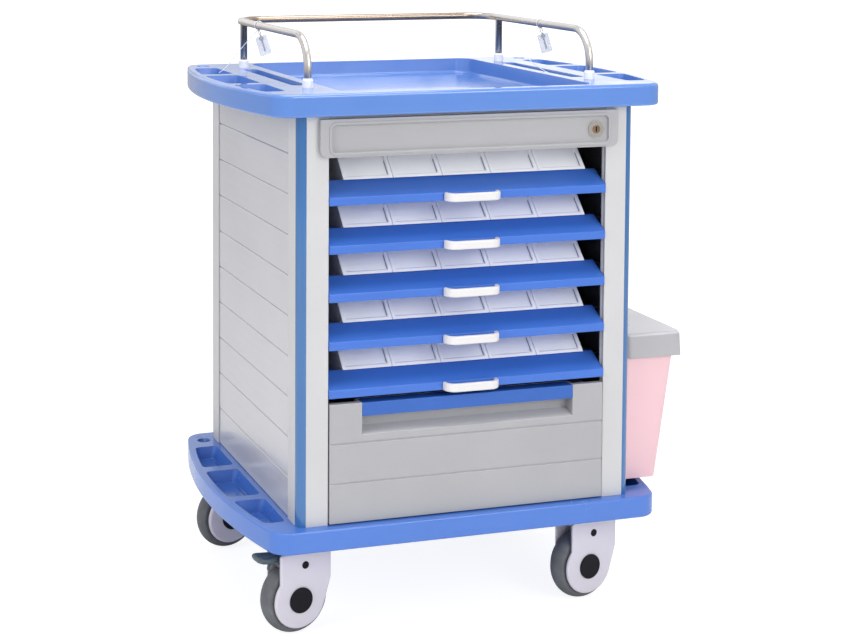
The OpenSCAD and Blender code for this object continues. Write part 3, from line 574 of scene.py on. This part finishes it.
def fork_cover(corner):
    """The fork with the soft rim of its two covers."""
    node = "fork_" + corner
    place = caster_place(corner)
    inverse = place.inverted()
    bm = cleaned(node)
    outer = max(abs((inverse @ vert.co).y) for vert in bm.verts)
    local = {vert: inverse @ vert.co for vert in bm.verts}

    def on_rim(edge):
        """On the edge of a cover's outer face, not on the hole for the axle."""
        axle_hole = 12 * MM
        return all(abs(abs(local[v].y) - outer) < NEAR and math.hypot(local[v].x, local[v].z) > axle_hole
                   for v in edge.verts)

    round_edges(bm, sharp_edges(bm, on_rim), 5, 5)
    piece = new_piece(node + "_cover", bm, COVER, "caster_" + corner)
    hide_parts(node)
    bm = bmesh.new()
    for side in (-1, 1):
        flip = Matrix.Rotation(-side * math.pi / 2, 4, "X")
        centre = Matrix.Translation((BOLT_CAP_X * MM, side * (outer - 0.5 * MM), BOLT_CAP_Z * MM))
        profile = ((BOLT_CAP_R, 0), (BOLT_CAP_R, 1.2), (5.4, 2.0), (2.6, 2.3), (2.4, 1.3), (0.3, 1.2))
        lathe(bm, [(radius * MM, height * MM) for radius, height in profile], place @ centre @ flip)
    new_piece("bolt_cap_" + corner, bm, CAP, "caster_" + corner)


def rounded_ring(half_w, half_t):
    """Points of a flat rounded section, from its right-hand side."""
    circle = [turn_about(1, k, 24) for k in range(24)]
    return [(half_w * math.copysign(abs(cos) ** 0.6, cos), half_t * math.copysign(abs(sin) ** 0.7, sin))
            for cos, sin in circle]


def pedal(corner):
    """The brake pedal: a paddle that flares and turns up at its tip, with its pin, hook and shoe."""
    node = "brake_pedal_" + corner
    place = caster_place(corner)
    pivot = Vector(JOINTS[f"brake_{corner}_press"]["pos_m"])
    own = Matrix.Translation(pivot) @ place.to_3x3().to_4x4()
    dish = 0.012
    shoe_lean = math.tan(math.radians(3))

    def at(x, y, z):
        return own @ Vector((x * MM, y * MM, z * MM))

    bm = bmesh.new()
    stations = ((4, 0, 5, 10), (-7, 0, 6.3, 12.5), (-15, -0.5, 6.8, 15), (-23, -0.5, 6.3, 17),
                (-31, 0.5, 5.8, 17.5), (-37, 2, 5.0, 16), (-41, 3.5, 3.0, 12.5))
    rings = []
    for x, z, half_t, half_w in stations:
        section = rounded_ring(half_w, half_t)
        rings.append([at(x, across, z + rise + dish * across * across) for across, rise in section])
    loft(bm, rings)
    across_pin = own @ Matrix.Rotation(math.pi / 2, 4, "X")
    for half, radius in ((17.2, 6), (21, 3)):
        profile = ((0.2, -half), (radius - 0.6, -half), (radius, 0.6 - half),
                   (radius, half - 0.6), (radius - 0.6, half), (0.2, half))
        lathe(bm, [(r * MM, height * MM) for r, height in profile], across_pin)
    hook = [at(-8, 0, -3), at(-15, 0, -10), at(-17.5, 0, -15), at(-16.5, 0, -18)]
    sweep(bm, spline(hook, 6), 2.2 * MM)
    loft(bm, [[at(drop * shoe_lean + sx * half, sy * 12, -drop) for sx, sy in SQUARE]
              for drop, half in ((2, 4), (10, 3.6), (14, 3.2), (15, 2.4))])
    piece = new_piece(node + "_paddle", bm, PEDAL, "brake_" + corner)
    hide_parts(node)


# ---------- waste bin ----------

def lid():
    """The bin's lid with its lower edges rounded; its top keeps the shape that the CAD gives it."""
    below_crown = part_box("waste_bin_lid")[1].z - 7 * MM
    bm = cleaned("waste_bin_lid")
    lower = sharp_edges(bm, lambda edge: all(vert.co.z < below_crown for vert in edge.verts))
    round_edges(bm, lower, 0.7, 2)
    piece = new_piece("waste_bin_lid_cap", bm, LID_GREY, "waste_bin_lid")
    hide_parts("waste_bin_lid")


# ---------- key tags ----------

CORD_R = 0.7
SLEEVE_HALF_W = 10.5


def hung(place, points):
    """Points in mm, moved to a place."""
    return [place @ Vector((x * MM, y * MM, z * MM)) for x, y, z in points]


def tag(side):
    """A clear sleeve with a key in it, on a split ring and a cord that is looped round the rail's tube."""
    name = "left" if side < 0 else "right"
    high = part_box("key_tags")[1]
    rail_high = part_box("guard_rail")[1]
    tray_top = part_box("top_tray")[1].z
    x = side * (high.x - SLEEVE_HALF_W * MM)
    tube_r = rail_high.x - abs(x)
    tube_z = rail_high.z - tube_r
    depths = [vert.co.y for vert in frame["nodes"]["key_tags"].data.vertices if vert.co.x * side > 0]
    y = (min(depths) + max(depths)) / 2

    bm = bmesh.new()
    circle = [turn_about(1, k, 24) for k in range(24)]
    loop_r = tube_r / MM + 1.2
    loop = [(loop_r * cos, 1.5 * sin, loop_r * sin) for cos, sin in circle]
    sweep(bm, hung(Matrix.Translation((x, y, tube_z)), loop), CORD_R * MM, 10, closed=True)
    under = tube_z - tube_r
    to_tray = (tray_top - under) / MM
    if side < 0:
        cord = ((0, 0, 0), (-28, 5, tube_r / MM - 38), (-56, 2, tube_r / MM - 70), (-74, -5, to_tray + 1))
    else:
        cord = ((0, 0, 0), (-30, -8, tube_r / MM - 26), (-34, -20, tube_r / MM - 58),
                (-14, -34, to_tray + 4), (6, -52, to_tray - 8))
    sweep(bm, spline(hung(Matrix.Translation((x, y, under)), cord)), CORD_R * MM, 10)
    piece = new_piece("key_cord_" + name, bm, CORD, "cabinet")
    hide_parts("key_tags")

    hang = Matrix.Translation((x, y - 2 * MM, under - 2 * MM)) @ Matrix.Rotation(math.radians(-17), 4, "Y")
    bm = bmesh.new()
    split_ring = [(0, 5.5 * cos, 5.5 * sin - 5) for cos, sin in circle]
    sweep(bm, hung(hang, split_ring), 0.6 * MM, 10, closed=True)
    key = [(-2.5, -18)] + arc((0, -16), 4.4, 200, -20, 14)
    key += [(1.6, -19.5), (1.6, -38), (0, -40), (-1.2, -38), (-1.2, -35), (-2.2, -34), (-1.2, -33),
            (-1.2, -30), (-2.2, -29), (-1.2, -28), (-1.2, -25), (-1.6, -19.5)]
    loft(bm, [hung(hang, [(a, depth, b) for a, b in key]) for depth in (-0.8, 0.8)])
    new_piece("key_" + name, bm, KEY, "cabinet")

    bm = bmesh.new()
    rings = []
    for inset, depth in ((0.8, -1.9), (0, -1.2), (0, 1.2), (0.8, 1.9)):
        half_w = SLEEVE_HALF_W - inset
        plan = rounded_rectangle((-half_w, -46 + inset), (half_w, -11 - inset), 3, 5)
        rings.append(hung(hang, [(a, depth, b) for a, b in plan]))
    loft(bm, rings)
    new_piece("key_sleeve_" + name, bm, CLEAR, "cabinet")


# ---------- bins ----------

BINS_IN_ROW = 5
BIN_GAP = 1
SLIT_FROM_SIDE = 7.4
FRONT_FOOT = (1.7, 29.3)


def slit_shade_strips(shelf):
    """A dark strip in the slit beside each label holder, where a card slides in, as painted shade in the
    slit; the bins' fronts lean back 45 degrees.
    """
    low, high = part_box(f"bins_{shelf}")
    pitch = (high.x - low.x + BIN_GAP * MM) / BINS_IN_ROW
    slope = Vector((0, 1, 1)).normalized()
    out = Vector((0, -1, 1)).normalized()
    foot = Vector((0, low.y + FRONT_FOOT[0] * MM, low.z + FRONT_FOOT[1] * MM))
    bm = bmesh.new()
    for k in range(BINS_IN_ROW):
        x = low.x + (k + 1) * pitch - (BIN_GAP + SLIT_FROM_SIDE) * MM
        rings = []
        for reach, half in ((7, 0.25), (7.6, 0.6), (33.4, 0.6), (34, 0.25)):
            centre = foot + slope * reach * MM
            rings.append([Vector((x + sx * half * MM, 0, 0)) + centre + out * (sy * 0.12 * MM)
                          for sx, sy in SQUARE])
        loft(bm, rings)
    new_piece(f"slit_shade_strips_{shelf}", bm, SLIT_SHADE, f"shelf_{shelf}")


# ---------- finishes of the CAD nodes ----------

def each(stem, ends):
    return [f"{stem}_{end}" for end in ends]


def finish_cad():
    """A material, and round edges of a width in mm and a number of segments, for each CAD node that shows."""
    for material, width, segments, nodes in (
            (STEEL, 0, 2, ["guard_rail"]),
            (WHITE, 0.6, 2, ["rail_ferrules"]),
            (POST_WHITE, 0.5, 2, ["corner_posts"]),
            (STRIP_BLUE, 0.3, 2, ["corner_strips"]),
            (SLAT_GREY, 0.5, 2, ["side_slats", "back_slats"]),
            (ALUMINIUM, 0.3, 2, ["inner_frame"]),
            (RUNNER, 0.3, 2, ["shelf_runners"]),
            (DRAWER_GREY, 0.45, 3, ["top_drawer_front"]),
            (DRAWER_GREY, 0.7, 3, ["bottom_drawer_front"]),
            (GRIP_BLUE, 1.2, 3, ["bottom_drawer_grip"]),
            (BOX_GREY, 0.4, 2, ["top_drawer_box", "bottom_drawer_box"]),
            (CHROME, 1.8, 4, ["lock_barrel"]),
            (BRASS, 0.4, 2, ["lock_plug"]),
            (ZINC, 0.3, 2, ["lock_cam"]),
            (ZINC, 0.4, 2, ["frame_screws", "bottom_slides_fixed", "bottom_slides_inner",
                            "waste_bin_pin", "waste_bin_bracket"]),
            (PINK, 0.7, 2, ["waste_bin"]),
            (SHELF_BLUE, 1.2, 3, each("shelf", SHELVES)),
            (HANDLE_WHITE, 2.6, 4, each("handle", SHELVES)),
            (BIN_WHITE, 0.5, 2, each("bins", SHELVES)),
            (SWIVEL, 0.8, 2, ["caster_mounts"]),
            (CAP, 1.0, 3, each("axle", CORNERS)),
            (TYRE, 1.0, 2, each("tyre", CORNERS)),
            (SWIVEL, 0.6, 2, each("hub", CORNERS))):
        for node in nodes:
            piece = frame["nodes"][node]
            for place in piece.material_slots:
                place.material = material
            soften(piece, width, segments, dissolve=material is not BIN_WHITE)


# ---------- stage ----------

FLOOR_HALF = 40
FLOOR_WHITE = (0.93, 0.93, 0.93, 1)
FLOOR_WORN = (0.9, 0.9, 0.9, 1)
WHITE_LEVEL = 1.32
WHITE_SHARE_NEAR = 0.65
WHITE_FROM = 1.0
WHITE_TO = 2.8

FILL_LEVEL = 0.5
ROOM_DARK = 0.6
ROOM_BRIGHT = 1.3

LIGHTS = (("front", (0.3, -3.8, 1.3), (1.8, 1.6), 28),
          ("key", (1.2, -3.2, 2.3), (1.4, 1.4), 38),
          ("left", (-3.4, -1.2, 2.0), (2.2, 2.6), 58),
          ("top", (0.0, -0.3, 3.4), (2.0, 2.0), 64))
MIRRORED_LIGHTS = ("key", "top")

CAMERA_PLACE = (-1.150, -2.878, 1.179)
CAMERA_YAW = 0.2910
CAMERA_PITCH = 0.0634
CAMERA_ROLL = 0.0007
CAMERA_LENS = 74.46
CAMERA_SHIFT = (0.2016, -0.3543)
CAMERA_REACH = 40


def floor():
    """A wide pale floor that is plain white far off and takes only faint shadows near the cart."""
    bm = bmesh.new()
    bm.faces.new([bm.verts.new((sx * FLOOR_HALF, sy * FLOOR_HALF, 0)) for sx, sy in SQUARE])
    mesh = bpy.data.meshes.new("floor")
    bm.to_mesh(mesh)
    bm.free()
    piece = bpy.data.objects.new("floor", mesh)
    bpy.context.scene.collection.objects.link(piece)
    graph = Graph("floor_white")
    graph.set(Base_Color=graph.mix(graph.noise(1.5, 2.0), FLOOR_WHITE, FLOOR_WORN), Roughness=0.7)
    nodes = graph.tree.nodes
    away = nodes.new("ShaderNodeVectorMath")
    away.operation = "LENGTH"
    graph.link(graph.place, away.inputs[0])
    share = nodes.new("ShaderNodeMath")
    share.operation = "MULTIPLY"
    whiter = graph.ramp(away.outputs["Value"], WHITE_SHARE_NEAR, 1, WHITE_FROM, WHITE_TO)
    graph.link(whiter, share.inputs[0])
    graph.link(nodes.new("ShaderNodeLightPath").outputs["Is Camera Ray"], share.inputs[1])
    white = nodes.new("ShaderNodeEmission")
    white.inputs["Strength"].default_value = WHITE_LEVEL
    blend = nodes.new("ShaderNodeMixShader")
    graph.link(share.outputs["Value"], blend.inputs["Fac"])
    graph.link(graph.shader.outputs["BSDF"], blend.inputs[1])
    graph.link(white.outputs["Emission"], blend.inputs[2])
    graph.link(blend.outputs["Shader"], nodes["Material Output"].inputs["Surface"])
    mesh.materials.append(graph.material)


def surround():
    """A white backdrop, an even fill for diffuse light, and a patchy room for mirror images."""
    world = bpy.data.worlds.new("surround")
    bpy.context.scene.world = world
    world.use_nodes = True
    nodes, link = world.node_tree.nodes, world.node_tree.links.new
    path = nodes.new("ShaderNodeLightPath")
    patches = nodes.new("ShaderNodeTexNoise")
    patches.inputs["Scale"].default_value = 4.0
    patches.inputs["Detail"].default_value = 1.0
    link(nodes.new("ShaderNodeTexCoord").outputs["Generated"], patches.inputs["Vector"])
    mirrored = nodes.new("ShaderNodeMapRange")
    for name, number in (("From Min", 0.42), ("From Max", 0.58),
                         ("To Min", ROOM_DARK), ("To Max", ROOM_BRIGHT)):
        mirrored.inputs[name].default_value = number
    link(patches.outputs["Fac"], mirrored.inputs["Value"])
    level = nodes.new("ShaderNodeMix")
    level.inputs["A"].default_value = FILL_LEVEL
    link(path.outputs["Is Glossy Ray"], level.inputs["Factor"])
    link(mirrored.outputs["Result"], level.inputs["B"])
    seen = nodes.new("ShaderNodeMix")
    seen.inputs["B"].default_value = 1.0
    link(path.outputs["Is Camera Ray"], seen.inputs["Factor"])
    link(level.outputs["Result"], seen.inputs["A"])
    background = nodes["Background"]
    background.inputs["Color"].default_value = (1, 1, 1, 1)
    link(seen.outputs["Result"], background.inputs["Strength"])


def lights():
    """Large soft lights, aimed at the cart; only some of them show in its mirror images."""
    target = (cad_box[0] + cad_box[1]) / 2
    for name, place, size, power in LIGHTS:
        lamp = bpy.data.lights.new(name, "AREA")
        lamp.shape = "RECTANGLE"
        lamp.size, lamp.size_y = size
        lamp.energy = power
        light = bpy.data.objects.new(name, lamp)
        light.location = place
        light.visible_glossy = name in MIRRORED_LIGHTS
        light.rotation_euler = (target - Vector(place)).to_track_quat("-Z", "Y").to_euler()
        bpy.context.scene.collection.objects.link(light)
    bpy.context.scene.view_settings.view_transform = "Standard"


def camera():
    """The camera, with a shifted lens.

    The shift holds only while the clip distance is the one set here. Another viewpoint that moves the
    camera sets its own clip distance, and gets a centred lens, so that the cart stays in the frame.
    """
    data = bpy.data.cameras.new("camera")
    cam = bpy.data.objects.new("camera", data)
    bpy.context.scene.collection.objects.link(cam)
    bpy.context.scene.camera = cam
    sin_yaw, cos_yaw = math.sin(CAMERA_YAW), math.cos(CAMERA_YAW)
    ahead, down = math.cos(CAMERA_PITCH), math.sin(CAMERA_PITCH)
    forward = Vector((sin_yaw * ahead, cos_yaw * ahead, -down))
    right = Vector((cos_yaw, -sin_yaw, 0))
    up = right.cross(forward)
    cos_roll, sin_roll = math.cos(CAMERA_ROLL), math.sin(CAMERA_ROLL)
    across = cos_roll * right + sin_roll * up
    upright = cos_roll * up - sin_roll * right
    turn = Matrix((across, upright, -forward)).transposed().to_4x4()
    cam.matrix_world = Matrix.Translation(CAMERA_PLACE) @ turn
    data.lens = CAMERA_LENS
    data.clip_end = CAMERA_REACH
    for axis, shift in zip(("shift_x", "shift_y"), CAMERA_SHIFT):
        curve = data.driver_add(axis)
        curve.driver.type = "SUM"
        reach = curve.driver.variables.new()
        reach.targets[0].id_type = "CAMERA"
        reach.targets[0].id = data
        reach.targets[0].data_path = "clip_end"
        for modifier in list(curve.modifiers):
            curve.modifiers.remove(modifier)
        for place, value in ((CAMERA_REACH - 1, shift), (CAMERA_REACH + 1, 0.0)):
            point = curve.keyframe_points.insert(place, value)
            point.interpolation = "CONSTANT"


finish_cad()
tray("top_tray", TRAY_BLUE, 3, 3, 7, 4)
tray("base_tray", BASE_BLUE, 5, 3, 6, 4)
for caster in CORNERS:
    fork_cover(caster)
for caster in ("fl", "rr"):
    pedal(caster)
lid()
for number in SHELVES:
    slit_shade_strips(number)
for tag_side in (-1, 1):
    tag(tag_side)
floor()
surround()
lights()
camera()
